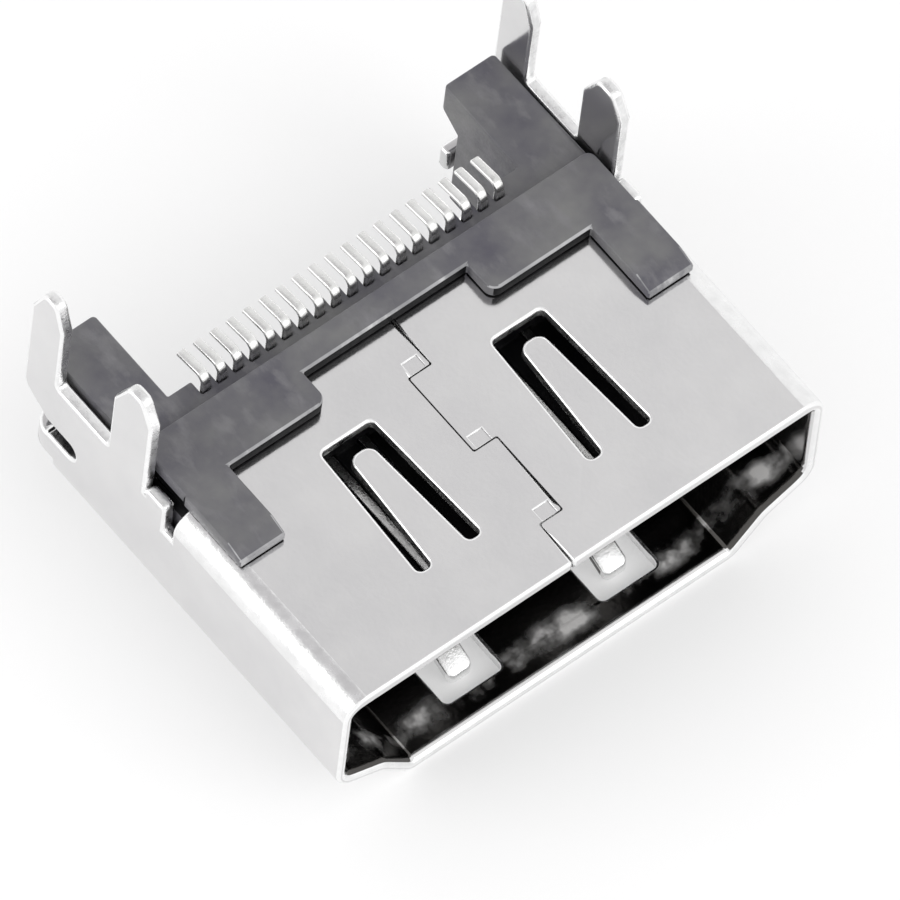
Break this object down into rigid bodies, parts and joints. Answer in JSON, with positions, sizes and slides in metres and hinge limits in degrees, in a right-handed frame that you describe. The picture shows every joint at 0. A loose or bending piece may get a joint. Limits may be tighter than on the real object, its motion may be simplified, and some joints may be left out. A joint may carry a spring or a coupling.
{
  "type": "hdmi socket",
  "caption": "Board-mounted video socket: folded metal shell with a stepped mouth, spring fingers and board legs, dark moulded housing and a row of solder tails.",
  "frame": {"origin": "centre of the bounding box's bottom, on the narrow shell face that the socket lies on in the picture", "axes": "+X to the right seen from in front of the mouth, -Y out of the mouth, +Z from the narrow shell face to the wide one, toward the circuit board"},
  "size_m": [0.0148, 0.0122, 0.0085],
  "materials": {
    "nickel_shell": "bright nickel plate",
    "dark_plastic": "mottled, fibre filled",
    "tinned_contact": "tin plated"
  },
  "bodies": {
    "root": {"shell": "nickel_shell", "housing": "dark_plastic", "contact_01": "tinned_contact", "contact_02": "tinned_contact", "contact_03": "tinned_contact", "contact_04": "tinned_contact", "contact_05": "tinned_contact", "contact_06": "tinned_contact", "contact_07": "tinned_contact", "contact_08": "tinned_contact", "contact_09": "tinned_contact", "contact_10": "tinned_contact", "contact_11": "tinned_contact", "contact_12": "tinned_contact", "contact_13": "tinned_contact", "contact_14": "tinned_contact", "contact_15": "tinned_contact", "contact_16": "tinned_contact", "contact_17": "tinned_contact", "contact_18": "tinned_contact", "contact_19": "tinned_contact"}
  },
  "joints": []
}
